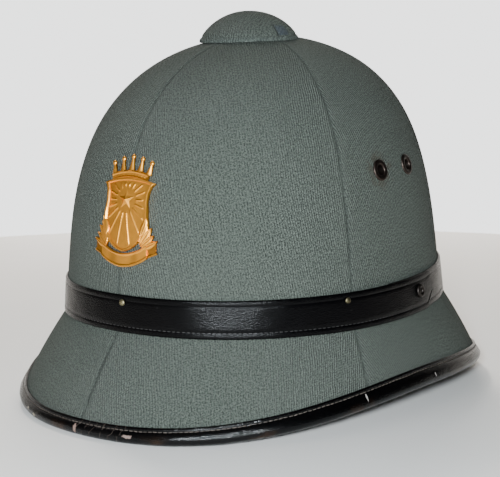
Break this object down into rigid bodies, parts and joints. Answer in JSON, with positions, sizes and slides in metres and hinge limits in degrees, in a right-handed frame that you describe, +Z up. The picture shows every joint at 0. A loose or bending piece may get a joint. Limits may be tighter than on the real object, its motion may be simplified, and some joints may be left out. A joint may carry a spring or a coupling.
{
  "type": "police helmet",
  "caption": "Cloth-covered police helmet with a domed crown of gores, a sloping brim, leather band and binding, top button and gilt badge.",
  "frame": {"origin": "middle of the rim's outline, on the surface the rim rests on", "axes": "+Z up, -Y towards the front that carries the badge, +X towards the wearer's left"},
  "size_m": [0.2192, 0.273, 0.1978],
  "materials": {
    "twill_cloth": "matt grey-green twill",
    "black_leather": "glossy, worn",
    "dark_metal": "dark brown lacquer, worn",
    "pin_brass": "dulled",
    "gilt_metal": "polished gilt"
  },
  "bodies": {
    "root": {"crown_gore_front_left": "twill_cloth", "crown_gore_front_right": "twill_cloth", "crown_gore_side_left": "twill_cloth", "crown_gore_side_right": "twill_cloth", "crown_gore_rear_left": "twill_cloth", "crown_gore_rear_right": "twill_cloth", "brim_panel_front_left": "twill_cloth", "brim_panel_front_right": "twill_cloth", "brim_panel_side_left": "twill_cloth", "brim_panel_side_right": "twill_cloth", "brim_panel_rear_left": "twill_cloth", "brim_panel_rear_right": "twill_cloth", "rim_binding": "black_leather", "hat_band": "black_leather", "band_stud": "dark_metal", "band_pin_front": "pin_brass", "band_pin_left": "pin_brass", "band_pin_right": "pin_brass", "band_pin_rear": "pin_brass", "eyelet_left_front": "dark_metal", "eyelet_left_rear": "dark_metal", "eyelet_right_front": "dark_metal", "eyelet_right_rear": "dark_metal", "top_button": "twill_cloth", "badge": "gilt_metal"}
  },
  "joints": []
}
